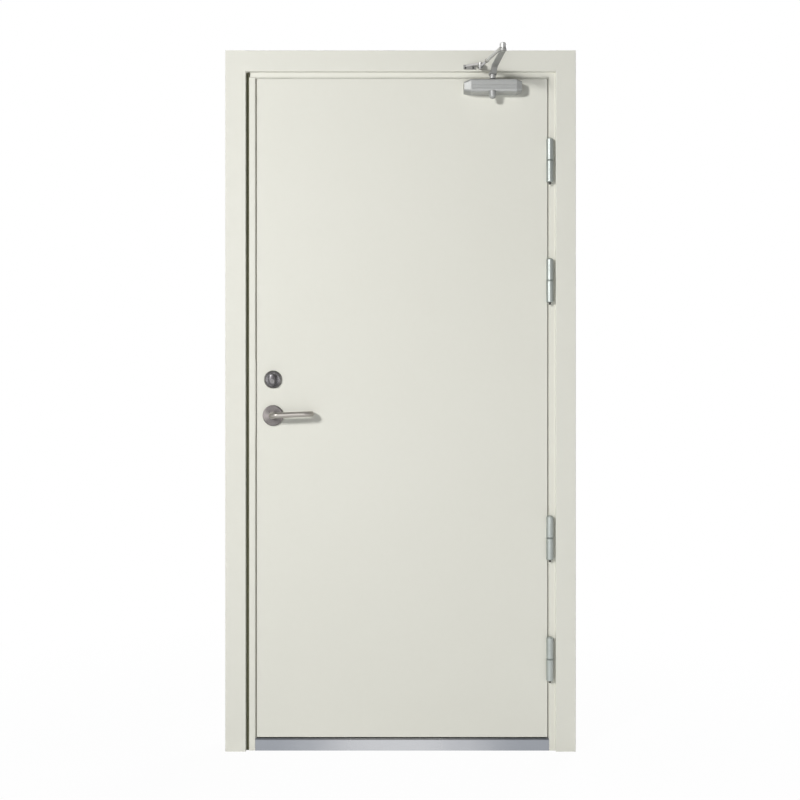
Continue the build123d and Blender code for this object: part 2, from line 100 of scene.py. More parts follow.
# %% The wire class
class Wire:
    """An output socket of a node; arithmetic with numbers or other wires adds Math nodes."""

    def __init__(self, graph, socket):
        self.graph = graph
        self.socket = socket

    def __add__(self, other):
        return self.graph.maths("ADD", self, other)

    def __radd__(self, other):
        return self.graph.maths("ADD", other, self)

    def __sub__(self, other):
        return self.graph.maths("SUBTRACT", self, other)

    def __rsub__(self, other):
        return self.graph.maths("SUBTRACT", other, self)

    def __mul__(self, other):
        return self.graph.maths("MULTIPLY", self, other)

    def __rmul__(self, other):
        return self.graph.maths("MULTIPLY", other, self)


class Graph:
    """A node tree that is written from left to right, ending in the nodes that it is given."""

    def __init__(self, tree):
        self.tree = tree

    def node(self, kind, settings=None, sockets=None, output=0):
        """Add one node: its options first, then a value or a wire for each named socket."""
        made = self.tree.nodes.new(kind)
        for key, value in (settings or {}).items():
            setattr(made, key, value)
        self.fill(made, sockets or {})
        return Wire(self, made.outputs[output]) if made.outputs else made

    def fill(self, made, sockets):
        """Give a node's input sockets their values or links."""
        for key, value in sockets.items():
            if isinstance(value, Wire):
                self.tree.links.new(value.socket, made.inputs[key])
            else:
                made.inputs[key].default_value = value

    def maths(self, operation, left, right=0.0):
        """One Math node on one or two values."""
        return self.node("ShaderNodeMath", {"operation": operation}, {0: left, 1: right})

    def place(self):
        """Where a point lies in its own piece's coordinates."""
        return self.node("ShaderNodeTexCoord", output="Object")

    def coordinate(self, vector, letter):
        """The X, Y or Z of a vector."""
        return self.node("ShaderNodeSeparateXYZ", None, {"Vector": vector}, output=letter)

    def noise(self, place, scale, detail):
        """Cloudy values from about 0 to 1 over a place."""
        return self.node("ShaderNodeTexNoise", None,
                         {"Vector": place, "Scale": scale, "Detail": detail})

    def ease(self, value, start, end):
        """Nought at start and one at end, with a soft turn at both."""
        return self.node("ShaderNodeMapRange", {"interpolation_type": "SMOOTHSTEP"},
                         {"Value": value, "From Min": start, "From Max": end})

    def blend(self, tone, light, deep):
        """A colour that goes from light to deep as the tone goes from 0 to 1."""
        return self.node("ShaderNodeMix", {"data_type": "RGBA"},
                         {0: tone, 6: light, 7: deep}, output=2)

    def bump(self, height, strength, depth):
        """The normal of a surface that is raised by a height."""
        return self.node("ShaderNodeBump", None,
                         {"Strength": strength, "Distance": depth, "Height": height})


def finish(name):
    """A new material: its graph, and the Principled shader that it ends in."""
    material = bpy.data.materials.new(name)
    material.use_nodes = True
    graph = Graph(material.node_tree)
    shader = next(n for n in material.node_tree.nodes if n.type == "BSDF_PRINCIPLED")
    return material, graph, shader


def screen(red, green, blue):
    """Linear colour of three screen values from 0 to 255, with an alpha of 1."""
    share = np.array([red, green, blue]) / 255.0
    linear = np.where(share <= 0.04045, share / 12.92, ((share + 0.055) / 1.055) ** 2.4)
    return (*[float(value) for value in linear], 1.0)


print("wire class ready")

# %% [markdown]
# ## Pale studio
# The door stands on a pale floor against white. The white is only what the camera and polished
# metal see, and metal that faces the camera sees the dimmer room in front, which keeps it from
# going flat and white. One even sky could light the door, but then nothing would cast a shadow. So
# most of the light comes from one far lamp, high on the left, which throws the shadows of the lever
# and the closer to the right. A wide low lamp in front lifts the bottom of the leaf, a weak one
# fills in from the right, and a fourth serves the back.

# %% Sky and lamps
SKY_STRENGTH = 0.06
ROOM_LIGHT = 0.35
ROOM_BLEND = 0.3
WHITE = (1.0, 1.0, 1.0, 1.0)
SEEN_RAYS = ("Is Camera Ray", "Is Glossy Ray", "Is Transmission Ray")
LAMPS = [
    # name, place, aim, watts, width
    ("key_lamp", (-2.9, -5.0, 2.75), (0.0, -0.05, 1.0), 232.0, 1.0),
    ("low_lamp", (-0.2, -3.2, 0.35), (0.0, -0.05, 0.5), 11.0, 1.6),
    ("right_lamp", (2.2, -3.0, 1.2), (0.0, -0.05, 1.0), 8.0, 1.5),
    ("back_lamp", (1.6, 2.8, 2.3), (0.0, 0.05, 1.0), 95.0, 1.6),
]


def seen_ray(graph):
    """One for rays from the camera, from polished metal and through glass; nought for light."""
    flags = [graph.node("ShaderNodeLightPath", output=name) for name in SEEN_RAYS]
    return graph.maths("MAXIMUM", graph.maths("MAXIMUM", flags[0], flags[1]), flags[2])


world = bpy.data.worlds.new("white_studio")
bpy.context.scene.world = world
world.use_nodes = True
sky = Graph(world.node_tree)
backdrop = next(n for n in world.node_tree.nodes if n.type == "BACKGROUND")
way = sky.node("ShaderNodeTexCoord", output="Generated")
behind = sky.ease(sky.coordinate(way, "Y"), -ROOM_BLEND, ROOM_BLEND)
to_camera = sky.node("ShaderNodeLightPath", output="Is Camera Ray")
mirrored = seen_ray(sky) - to_camera
mirror_light = (ROOM_LIGHT - SKY_STRENGTH) + (1.0 - ROOM_LIGHT) * behind
sky_light = SKY_STRENGTH + (1.0 - SKY_STRENGTH) * to_camera + mirrored * mirror_light
sky.fill(backdrop, {"Color": WHITE, "Strength": sky_light})


def soft_lamp(name, place, aim, watts, width):
    """A round lamp that faces its aim and doesn't show itself to the camera."""
    data = bpy.data.lights.new(name, "AREA")
    data.shape = "DISK"
    data.size = width
    data.energy = watts
    lamp = bpy.data.objects.new(name, data)
    toward = np.array(aim) - np.array(place)
    level = math.hypot(toward[0], toward[1])
    tilt = math.atan2(level, -toward[2])
    lamp.location = place
    lamp.rotation_euler = (tilt, 0.0, math.atan2(-toward[0], toward[1]))
    lamp.visible_camera = False
    bpy.context.scene.collection.objects.link(lamp)


for lamp_row in LAMPS:
    soft_lamp(*lamp_row)
bpy.context.scene.view_settings.view_transform = "Standard"
print("lamps:", len(LAMPS))

# %% [markdown]
# ## Floor
# A white floor would turn grey away from the lamps. This one glows white to the camera and to
# polished metal, and keeps a small share of plain matt white near the door, where a soft shadow
# shows that the door stands on something. The light itself meets only the matt white.

# %% Floor
FLOOR_HALF = 9.0
FLOOR_DROP = 0.0004
FLOOR_WHITE = (0.88, 0.9, 0.93, 1.0)
FLOOR_SHADOW = 0.03
FLOOR_NEAR, FLOOR_FAR = 0.7, 2.2

floor_mesh = bpy.data.meshes.new("studio_floor")
floor_corners = FLOOR_HALF * np.array([(-1, -1), (1, -1), (1, 1), (-1, 1)])
floor_points = np.column_stack([floor_corners, np.full(4, -FLOOR_DROP)])
floor_mesh.from_pydata(floor_points.tolist(), [], [(0, 1, 2, 3)])
floor = bpy.data.objects.new("studio_floor", floor_mesh)
bpy.context.scene.collection.objects.link(floor)

floor_paint = bpy.data.materials.new("floor_white")
floor_paint.use_nodes = True
floor_graph = Graph(floor_paint.node_tree)
floor_paint.node_tree.nodes.clear()
reach = floor_graph.node("ShaderNodeVectorMath", {"operation": "LENGTH"},
                         {0: floor_graph.place()}, output="Value")
near = floor_graph.ease(reach, FLOOR_FAR, FLOOR_NEAR)
matt = floor_graph.node("ShaderNodeBsdfDiffuse", None, {"Color": FLOOR_WHITE})
glow = floor_graph.node("ShaderNodeEmission", None, {"Strength": 1.0})
glow_share = seen_ray(floor_graph) * (1.0 - FLOOR_SHADOW * near)
floor_mix = floor_graph.node("ShaderNodeMixShader", None, {0: glow_share, 1: matt, 2: glow})
floor_graph.node("ShaderNodeOutputMaterial", None, {"Surface": floor_mix})
floor_mesh.materials.append(floor_paint)
print("floor:", floor_paint.name)

# %% [markdown]
# ## Cream powder coat
# The leaf and frame are steel sheet, sprayed with powder that melts to a semi-gloss skin. Close up
# it isn't smooth: it has a fine orange peel, and the tone drifts a little over a metre. A picture
# could carry that, but noise on the piece's own coordinates needs no file and has no seams.

# %% Powder coat
PAINT_LIGHT = screen(229, 228, 218)
PAINT_DEEP = screen(224, 223, 211)
PAINT_ROUGH, PAINT_SPREAD = 0.46, 0.16
DRIFT_SCALE, DRIFT_DETAIL, DRIFT_SHARE = 1.7, 4.0, 0.7
SPECK_SCALE, SPECK_DETAIL = 60.0, 6.0
PEEL_SCALE, PEEL_DETAIL = 330.0, 2.0
PEEL_STRENGTH, PEEL_DEPTH = 0.12, 0.0006


def powder_coat(name, light, deep):
    """Paint whose colour drifts between two tones, with specks in its gloss and orange peel in
    its bump."""
    material, graph, shader = finish(name)
    place = graph.place()
    drift = graph.noise(place, DRIFT_SCALE, DRIFT_DETAIL)
    speck = graph.noise(place, SPECK_SCALE, SPECK_DETAIL)
    peel = graph.noise(place, PEEL_SCALE, PEEL_DETAIL)
    tone = DRIFT_SHARE * drift + (1.0 - DRIFT_SHARE) * speck
    graph.fill(shader, {
        "Base Color": graph.blend(tone, light, deep),
        "Roughness": PAINT_ROUGH + PAINT_SPREAD * speck,
        "Normal": graph.bump(peel, PEEL_STRENGTH, PEEL_DEPTH),
    })
    return material


cream = powder_coat("cream_powder_coat", PAINT_LIGHT, PAINT_DEEP)
print("paint:", cream.name)

# %% [markdown]
# ## Brushed and turned metal
# The lever, roses and lock are stainless steel, and the hinges and closer arms are zinc plated.
# Brushing leaves fine parallel scratches, so the noise is drawn out along the brushing direction.
# Turned pieces such as the roses are scratched in rings about their own axis, and the rings throw
# the light back in two fans, left and right. The renderer could work the fans out from an
# anisotropic gloss, but that isn't kept when the model is exported, so the fans are a painted
# highlight in the colour, and the darker colour between them is a painted reflection. The scratches
# also change the gloss and tilt the surface a little.

# %% Metals
X_AXIS, Y_AXIS, Z_AXIS = range(3)
STREAK_FINE, STREAK_LONG, STREAK_DETAIL = 1400.0, 14.0, 3.0
STREAK_SHARE, STREAK_SPREAD, STREAK_BUMP = 0.65, 0.16, 0.1
SCRATCH_DEPTH = 0.0002
METAL_CLOUD_SCALE, METAL_CLOUD_DETAIL = 22.0, 3.0
TURN_SCALE, TURN_WOBBLE, TURN_DETAIL = 900.0, 1.5, 2.0
TURN_CLOUD_SCALE, TURN_CLOUD_DETAIL = 60.0, 3.0
TURN_SHARE, TURN_CLOUD_SHARE, PAINTED_SHEEN_SHARE = 0.35, 0.2, 0.45
TURN_SPREAD, TURN_BUMP = 0.14, 0.14
PAINTED_SHEEN_POWER = 7.0
DROP_Y = (1.0, 0.0, 1.0)


def streaks(graph, place, along):
    """Noise that is drawn out along one axis, as scratches are."""
    stretch = [STREAK_FINE] * 3
    stretch[along] = STREAK_LONG
    drawn = graph.node("ShaderNodeMapping", None, {"Vector": place, "Scale": stretch})
    return graph.noise(drawn, 1.0, STREAK_DETAIL)


def brushed(name, light, deep, along, rough=0.3, metal=1.0):
    """Metal scratched along one axis: the streaks feed the tone, the gloss and the bump."""
    material, graph, shader = finish(name)
    place = graph.place()
    streak = streaks(graph, place, along)
    cloud = graph.noise(place, METAL_CLOUD_SCALE, METAL_CLOUD_DETAIL)
    tone = STREAK_SHARE * streak + (1.0 - STREAK_SHARE) * cloud
    graph.fill(shader, {
        "Base Color": graph.blend(tone, light, deep),
        "Metallic": metal,
        "Roughness": rough - 0.5 * STREAK_SPREAD + STREAK_SPREAD * tone,
        "Normal": graph.bump(streak, STREAK_BUMP, SCRATCH_DEPTH),
    })
    return material


def turned(name, light, deep, node, rough=0.28):
    """Metal scratched in rings about the Y line through a piece's middle. The colour carries a
    painted highlight |x / r|^7, where x / r is the sideways share of the way out from that line, so
    it is a light fan on each side; away from the fans the colour goes to the deep tone, a painted
    reflection."""
    material, graph, shader = finish(name)
    place = graph.place()
    x, _, z = centre(node) * MILLIMETRE
    about = graph.node("ShaderNodeMapping", {"vector_type": "POINT"},
                       {"Vector": place, "Location": (-x, 0.0, -z)})
    rings = graph.node("ShaderNodeTexWave", {"wave_type": "RINGS", "rings_direction": "Y"},
                       {"Vector": about, "Scale": TURN_SCALE, "Distortion": TURN_WOBBLE,
                        "Detail": TURN_DETAIL})
    cloud = graph.noise(place, TURN_CLOUD_SCALE, TURN_CLOUD_DETAIL)
    flat = graph.node("ShaderNodeVectorMath", {"operation": "MULTIPLY"}, {0: about, 1: DROP_Y})
    spoke = graph.node("ShaderNodeVectorMath", {"operation": "NORMALIZE"}, {0: flat})
    aside = graph.maths("ABSOLUTE", graph.coordinate(spoke, "X"))
    painted_sheen = graph.maths("POWER", aside, PAINTED_SHEEN_POWER)
    # painted highlight: the fans at the sides are light, and the deep tone between them is a
    # painted dark reflection
    tone = TURN_SHARE * rings + TURN_CLOUD_SHARE * cloud + PAINTED_SHEEN_SHARE * (1.0 - painted_sheen)
    graph.fill(shader, {
        "Base Color": graph.blend(tone, light, deep),
        "Metallic": 1.0,
        "Roughness": rough + TURN_SPREAD * tone,
        "Normal": graph.bump(rings, TURN_BUMP, SCRATCH_DEPTH),
    })
    return material


lever_steel = brushed(
    "lever_stainless", screen(186, 182, 176), screen(146, 142, 136), X_AXIS, rough=0.38)
# the light tones of the rose and the lock are their painted highlight, the deep tones a painted
# dark reflection
rose_steel = turned(
    "rose_stainless", screen(166, 160, 158), screen(62, 60, 60), "front_lever_rose")
lock_steel = turned(
    "lock_stainless", screen(156, 154, 156), screen(48, 47, 49), "lock_cylinder", rough=0.22)
nose_steel = brushed(
    "lock_nose_stainless", screen(112, 110, 112), screen(84, 82, 84), Z_AXIS, rough=0.34)
plug_steel = brushed(
    "lock_plug_stainless", screen(146, 144, 144), screen(112, 110, 110), X_AXIS, rough=0.34)
edge_steel = brushed(
    "lock_edge_stainless", screen(190, 190, 188), screen(156, 156, 154), Z_AXIS)
# dark steel for the screws of the shoe and the lever, and painted shade for the key slots and the
# ends of the hinge pins
dark_steel_painted_shade = brushed(
    "dark_screw_steel_and_painted_shade", screen(92, 92, 90), screen(58, 58, 56), X_AXIS, rough=0.5)
hinge_steel = brushed(
    "hinge_zinc", screen(190, 196, 193), screen(150, 156, 152), Z_AXIS, rough=0.46, metal=0.85)
arm_steel = brushed(
    "arm_zinc", screen(182, 182, 180), screen(150, 150, 148), Y_AXIS, rough=0.46, metal=0.6)
bright_zinc = brushed(
    "forearm_zinc", screen(222, 222, 220), screen(190, 190, 188), Y_AXIS, rough=0.4, metal=0.6)
shoe_steel = brushed(
    "shoe_zinc", screen(206, 205, 202), screen(150, 149, 146), X_AXIS, rough=0.34, metal=0.85)
print("metals ready; lever", lever_steel.name, "hinges", hinge_steel.name)

# %% [markdown]
# ## Threshold with wear and painted reflection
# The threshold is brushed stainless steel, and every pair of feet crosses its middle, which wears
# that stretch smooth while the ends stay dull. Its colour is a painted reflection: pale in the
# middle and darker towards the ends. Two materials side by side would meet in a hard line, so one
# soft mask of the distance from the middle blends them, with noise so that the mask has no drawn
# edge.

# %% Threshold steel
WORN_AND_BRIGHT_HALF, DULL_AND_DARK_HALF = 0.05, 0.4
WEAR_AND_REFLECTION_SCALE, WEAR_AND_REFLECTION_DETAIL, WEAR_AND_REFLECTION_RAGGED = 9.0, 4.0, 0.12
WEAR_AND_REFLECTION_SHARE = 0.82
WORN_ROUGH, WORN_SPREAD = 0.24, 0.16


def wear_and_reflection_steel(name, polished, dull):
    """Metal brushed along X whose tone and gloss change with the distance from the middle: the
    colour goes from polished to dull, a painted reflection that is pale in the middle and darker at
    the ends, and the gloss is smoother in the middle, where it is worn."""
    material, graph, shader = finish(name)
    place = graph.place()
    streak = streaks(graph, place, X_AXIS)
    cloud = graph.noise(place, WEAR_AND_REFLECTION_SCALE, WEAR_AND_REFLECTION_DETAIL)
    distance = graph.maths("ABSOLUTE", graph.coordinate(place, "X"))
    # one mask for both: a painted reflection in the colour, pale in the middle and darker at the
    # ends, and wear in the gloss
    wear_and_reflection = graph.ease(distance + WEAR_AND_REFLECTION_RAGGED * (cloud - 0.5), WORN_AND_BRIGHT_HALF, DULL_AND_DARK_HALF)
    tone = WEAR_AND_REFLECTION_SHARE * wear_and_reflection + (1.0 - WEAR_AND_REFLECTION_SHARE) * streak
    graph.fill(shader, {
        "Base Color": graph.blend(tone, polished, dull),
        "Metallic": 1.0,
        "Roughness": WORN_ROUGH + WORN_SPREAD * tone,
        "Normal": graph.bump(streak, STREAK_BUMP, SCRATCH_DEPTH),
    })
    return material


# the pale middle and darker ends are painted reflection
sill_steel = wear_and_reflection_steel("threshold_stainless", screen(204, 205, 208), screen(148, 152, 159))
print("threshold:", sill_steel.name)

# %% [markdown]
# ## Closer, seals and core
# The closer's housing is aluminium, sprayed silver: small flakes catch the light under a satin
# skin, so a fine speckle varies both colour and gloss. The same speckle without metal makes the
# seal in the slot, whose dark olive colour is painted shade, the pale seals round the leaf, the
# painted shade of a joint and the fibrous board of the core, which only shows in the lock holes.
# One function with other numbers serves them all.

# %% Speckled and matt finishes
FLAKE_SHARE, FLAKE_SPREAD = 0.5, 0.12
FLAKE_BUMP, FLAKE_DEPTH = 0.05, 0.0003
FLAKE_CLOUD_SCALE, FLAKE_CLOUD_DETAIL = 25.0, 4.0


def speckled(name, light, deep, grain, rough, metal=0.0):
    """Satin skin with flakes: fine cell noise moves the colour, the gloss and the bump a little."""
    material, graph, shader = finish(name)
    place = graph.place()
    flake = graph.node("ShaderNodeTexVoronoi", None, {"Vector": place, "Scale": grain},
                       output="Color")
    level = graph.node("ShaderNodeSeparateColor", None, {"Color": flake}, output="Red")
    cloud = graph.noise(place, FLAKE_CLOUD_SCALE, FLAKE_CLOUD_DETAIL)
    tone = FLAKE_SHARE * level + (1.0 - FLAKE_SHARE) * cloud
    graph.fill(shader, {
        "Base Color": graph.blend(tone, light, deep),
        "Metallic": metal,
        "Roughness": rough + FLAKE_SPREAD * tone,
        "Normal": graph.bump(level, FLAKE_BUMP, FLAKE_DEPTH),
    })
    return material


closer_silver = speckled(
    "closer_silver", screen(192, 193, 191), screen(172, 173, 171), 1500.0, 0.38, metal=0.35)
cap_silver = speckled(
    "closer_cap_silver", screen(184, 185, 183), screen(150, 151, 148), 1500.0, 0.4, metal=0.3)
# the slot seal's dark olive colour is painted shade of the slot
seal_rubber = speckled(
    "seal_rubber", screen(124, 124, 98), screen(102, 102, 78), 900.0, 0.75)
pale_seal = speckled(
    "pale_gap_seal", screen(222, 221, 210), screen(206, 205, 194), 700.0, 0.6)
# a darker tone for a strip along a joint: painted shade of the joint's shadow line
joint_painted_shade = speckled(
    "joint_painted_shade", screen(176, 174, 163), screen(158, 156, 146), 700.0, 0.6)
core_board = speckled(
    "core_board", screen(206, 200, 180), screen(180, 172, 150), 400.0, 0.85)
print("other finishes ready; closer", closer_silver.name)

# %% [markdown]
# ## A finish for every loaded piece
# A table says which finish each piece wears. The pieces could be told apart by their slots, but the
# roses and the lever share a slot and aren't finished alike, so the table goes by name.

# %% Give each loaded piece its finish
HINGE_NUMBERS = (1, 2, 3, 4)
FINISHES = {
    "hinge_jamb": cream, "lock_jamb": cream, "frame_head": cream,
    "front_skin": cream, "back_skin": cream, "top_channel": cream, "bottom_channel": cream,
    "threshold": sill_steel, "lock_side_seal": seal_rubber, "core": core_board,
    "strike_plate": edge_steel, "lock_faceplate": edge_steel,
    "latch_bolt": edge_steel, "dead_bolt": edge_steel,
    "front_lever_rose": rose_steel, "back_lever_rose": rose_steel,
    "front_lever": lever_steel, "back_lever": lever_steel, "lever_spindle": arm_steel,
    "front_lock_collar": lock_steel, "back_lock_collar": lock_steel, "lock_cylinder": lock_steel,
    "closer_body": closer_silver, "closer_left_cap": cap_silver, "closer_right_cap": cap_silver,
    "closer_pinion_cap": cap_silver, "closer_shoe": shoe_steel, "closer_main_arm": arm_steel,
    "elbow_pin": bright_zinc, "forearm_tube": bright_zinc, "forearm_rod": arm_steel,
}
for number in HINGE_NUMBERS:
    FINISHES[f"frame_hinge_{number}"] = hinge_steel
    FINISHES[f"leaf_hinge_{number}"] = hinge_steel
for name, piece in nodes.items():
    piece.data.materials.clear()
    piece.data.materials.append(FINISHES[name])
print("finished pieces:", len(FINISHES))

# %% [markdown]
# ## Shapes from arrays
# Screws, threads, rings and seals are too small for the construction model, but the eye looks for
# them. Each is a surface worked out from two numbers: a ring number and an angle, or a place along
# a path and a place round a profile. The whole grid of points comes from one numpy formula, and the
# faces join each point to its neighbours. Points that fall together, at a pole or a seam, are
# merged, and the faces are then turned outwards.

# %% Grid helpers
MERGE_DISTANCE = 1e-7
SHARP_EDGE = math.radians(38.0)
LEFT, RIGHT = (-1, 0, 0), (1, 0, 0)
FRONT, BACK = (0, -1, 0), (0, 1, 0)
DOWN, UP = (0, 0, -1), (0, 0, 1)


def points(x, y, z):
    """Rows of (x, y, z), where a single number stands for every row."""
    return np.column_stack(np.broadcast_arrays(*np.atleast_1d(x, y, z)))


def around(sides):
    """Equal angles once round, without the last, which is the first again."""
    return np.linspace(0.0, 2.0 * np.pi, sides, endpoint=False)


def about_axis(radius, height, angle):
    """Grid of points (r cos a, r sin a, h): a row for each ring, a column for each angle."""
    return np.stack([radius * np.cos(angle), radius * np.sin(angle), height + 0.0 * angle], axis=-1)


def superellipse(angle, power):
    """|cos a|^q and |sin a|^q with the signs of cos and sin: squarer as the power falls below 1."""
    waves = np.stack([np.cos(angle), np.sin(angle)])
    return np.sign(waves) * np.abs(waves) ** power


def grid_faces(rows, columns):
    """Quads between neighbouring points of a grid numbered row by row, whose last column joins its
    first."""
    row, column = np.meshgrid(np.arange(rows - 1), np.arange(columns), indexing="ij")
    after = (column + 1) % columns
    here, above = row * columns, (row + 1) * columns
    quads = [here + column, here + after, above + after, above + column]
    return np.stack(quads, axis=-1).reshape(-1, 4)


def placed(grid, origins, across, out):
    """Copies of one local grid (right, up, out), in millimetres: each turned to its axes and moved
    to an origin."""
    out = np.array(out, dtype=float)
    across = np.array(across, dtype=float)
    axes = np.stack([across, np.cross(out, across), out])
    return np.array(origins, dtype=float)[:, None, None, :] + grid[None] @ axes


def make_piece(name, copies, body, material):
    """One mesh from equal grids: closed at poles and seams, faces out, riding on a body with the
    given finish."""
    count, rows, columns, _ = copies.shape
    offsets = np.arange(count)[:, None, None] * rows * columns
    faces = (grid_faces(rows, columns)[None] + offsets).reshape(-1, 4)
    mesh = bpy.data.meshes.new(name)
    mesh.from_pydata((copies.reshape(-1, 3) * MILLIMETRE).tolist(), [], faces.tolist())
    shell = bmesh.new()
    shell.from_mesh(mesh)
    bmesh.ops.remove_doubles(shell, verts=shell.verts, dist=MERGE_DISTANCE)
    bmesh.ops.recalc_face_normals(shell, faces=shell.faces)
    shell.to_mesh(mesh)
    shell.free()
    mesh.shade_smooth()
    mesh.set_sharp_from_angle(angle=SHARP_EDGE)
    mesh.materials.append(material)
    piece = bpy.data.objects.new(name, mesh)
    bpy.context.scene.collection.objects.link(piece)
    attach(piece, body)
    print(name, "on", body, "faces", len(mesh.polygons))
    return piece


print("grid helpers ready")

# %% [markdown]
# ## Cross-head screws
# Raised-head screws hold the hinges, the lock's faceplate, the strike and the closer's shoe. A
# plain disc would do from far away, but near the edge of the open leaf the cross recess is what
# says screw. The rings of the grid start on the outline of the cross and relax to a circle, so the
# recess has clean walls without any cutting.

# %% Screw heads
SCREW_RINGS = np.array([
    # share of the cross outline, share of the circle, height in head heights
    (0.0, 0.0, 0.25), (0.75, 0.0, 0.25), (0.98, 0.0, 0.9), (1.1, 0.0, 1.0), (0.35, 0.55, 0.9),
    (0.0, 0.88, 0.55), (0.0, 1.0, 0.0), (0.0, 1.0, -0.5), (0.0, 0.0, -0.5),
])
SCREW_SIDES = 48
CROSS_REACH, CROSS_WAIST, CROSS_POWER = 0.55, 0.3, 6.0


def screw_head(radius, height):
    """Rings at radius r = R (cross share times c(a) plus circle share), where c(a) = reach (waist
    + (1 - waist) |cos 2a|^6) has four arms; each ring has its own height."""
    angle = around(SCREW_SIDES)
    arms = CROSS_WAIST + (1.0 - CROSS_WAIST) * np.abs(np.cos(2.0 * angle)) ** CROSS_POWER
    ring = radius * (SCREW_RINGS[:, :1] * CROSS_REACH * arms + SCREW_RINGS[:, 1:2])
    return about_axis(ring, height * SCREW_RINGS[:, 2:], angle)


# radius and height of each kind of head
hinge_screw = screw_head(4.2, 1.4)
plate_screw = screw_head(3.8, 1.2)
shoe_screw = screw_head(2.9, 1.6)
hub_screw = screw_head(6.0, 3.4)
print("screw head grid:", hinge_screw.shape)

# %% Screws of the hinges and the lock
HINGE_SCREW_RISES = np.array([-36.0, 0.0, 36.0])
HINGE_SCREW_STEPS = np.array([6.0, -6.0, 6.0])
PLATE_SCREW_INSET = 11.0
skin_low, skin_high = corners("front_skin")
leaf_plate_x = skin_high[0]
lock_wall_x, frame_plate_x = (corner[0] for corner in corners("threshold"))


def hinge_boxes(side):
    """Both corners of the four hinge halves of one side."""
    return np.array([corners(f"{side}_hinge_{number}") for number in HINGE_NUMBERS])


def hinge_screw_places(side, face):
    """Three places in a zigzag on each hinge plate of one side, on the plate's open face."""
    boxes = hinge_boxes(side)
    middle_y = 0.5 * (boxes[:, 1, 1] + skin_low[1])
    middle_z = boxes[:, :, 2].mean(axis=1)
    y = middle_y[:, None] + HINGE_SCREW_STEPS
    z = middle_z[:, None] + HINGE_SCREW_RISES
    return points(face, y.ravel(), z.ravel())


def end_places(node, x):
    """One place near each end of an upright plate, midway across it, at the given X."""
    low, high = corners(node)
    ends = [low[2] + PLATE_SCREW_INSET, high[2] - PLATE_SCREW_INSET]
    return points(x, 0.5 * (low[1] + high[1]), ends)


bevel_middle_x = 0.5 * (skin_low[0] + corners("back_skin")[0][0])
leaf_places = hinge_screw_places("leaf", leaf_plate_x)
frame_places = hinge_screw_places("frame", frame_plate_x)
faceplate_places = end_places("lock_faceplate", bevel_middle_x)
strike_places = end_places("strike_plate", corners("strike_plate")[1][0])
make_piece("leaf_hinge_screws", placed(hinge_screw, leaf_places, UP, RIGHT),
           "leaf", hinge_steel)
make_piece("frame_hinge_screws", placed(hinge_screw, frame_places, UP, LEFT),
           "frame", hinge_steel)
make_piece("faceplate_screws", placed(plate_screw, faceplate_places, UP, LEFT),
           "leaf", edge_steel)
make_piece("strike_screws", placed(plate_screw, strike_places, UP, RIGHT),
           "frame", edge_steel)

# %% Screws of the closer
SHOE_SCREW_INSET, SHOE_SCREW_RISE = 6.5, 3.5
SHOE_PLATE_LENGTH, SHOE_PLATE_THICK = 36.0, 4.0
HUB_RISE = 7.0
shoe_low, shoe_high = corners("closer_shoe")
shoe_screw_x = shoe_low[0] + np.array([SHOE_SCREW_INSET, SHOE_PLATE_LENGTH - SHOE_SCREW_INSET])
shoe_places = points(shoe_screw_x, shoe_high[1] - SHOE_PLATE_THICK, shoe_low[2] + SHOE_SCREW_RISE)
make_piece("shoe_screws", placed(shoe_screw, shoe_places, RIGHT, FRONT),
           "frame", dark_steel_painted_shade)
spindle_x, spindle_y, _ = centre("closer_pinion_cap")
hub_place = points(spindle_x, spindle_y, corners("top_channel")[1][2] + HUB_RISE)
make_piece("arm_hub_screw", placed(hub_screw, hub_place, RIGHT, UP),
           "main_arm", lever_steel)

# %% [markdown]
# ## Closer fittings
# The closer's speed is set by two slotted valves in its right end, and its spring by a socket in
# the left. They are turned shapes: a short list of radii and heights is carried once round an axis,
# which needs no cutting and keeps the edges crisp.

# %% Turned shapes
TURNED_SIDES = 40
# radius and height of each ring, from the middle of the face to the middle of the foot
VALVE_PROFILE = [(0.0, 0.5), (1.4, 0.5), (1.5, 1.0), (3.4, 1.0), (3.8, 0.6), (3.8, -1.0),
                 (0.0, -1.0)]
SOCKET_PROFILE = [(0.0, 0.6), (3.4, 0.6), (3.6, 1.6), (6.8, 1.6), (7.6, 0.8), (7.6, -1.0),
                  (0.0, -1.0)]
VALVE_SPREAD = np.array([-8.0, 8.0])


def turned_shape(profile):
    """A profile of (radius, height) pairs carried once round the out axis."""
    radius, height = np.array(profile, dtype=float).T[:, :, None]
    return about_axis(radius, height, around(TURNED_SIDES))


cap_end_x = corners("closer_right_cap")[1][0]
socket_end_x = corners("closer_left_cap")[0][0]
_, closer_y, closer_z = centre("closer_right_cap")
valve_places = points(cap_end_x, closer_y, closer_z + VALVE_SPREAD)
socket_place = points(socket_end_x, closer_y, closer_z)
make_piece("closer_valves", placed(turned_shape(VALVE_PROFILE), valve_places, UP, RIGHT),
           "leaf", lever_steel)
make_piece("closer_spring_socket", placed(turned_shape(SOCKET_PROFILE), socket_place, UP, LEFT),
           "leaf", lever_steel)

# %% [markdown]
# ## Thread and locknut
# The forearm's rod is threaded so that its length can be set, and a nut locks it against the tube.
# A thread could be bump alone, but here its crests show against the white behind the arm, so the
# radius itself winds up and down along the rod. The nut is a hexagon with bevelled corners.

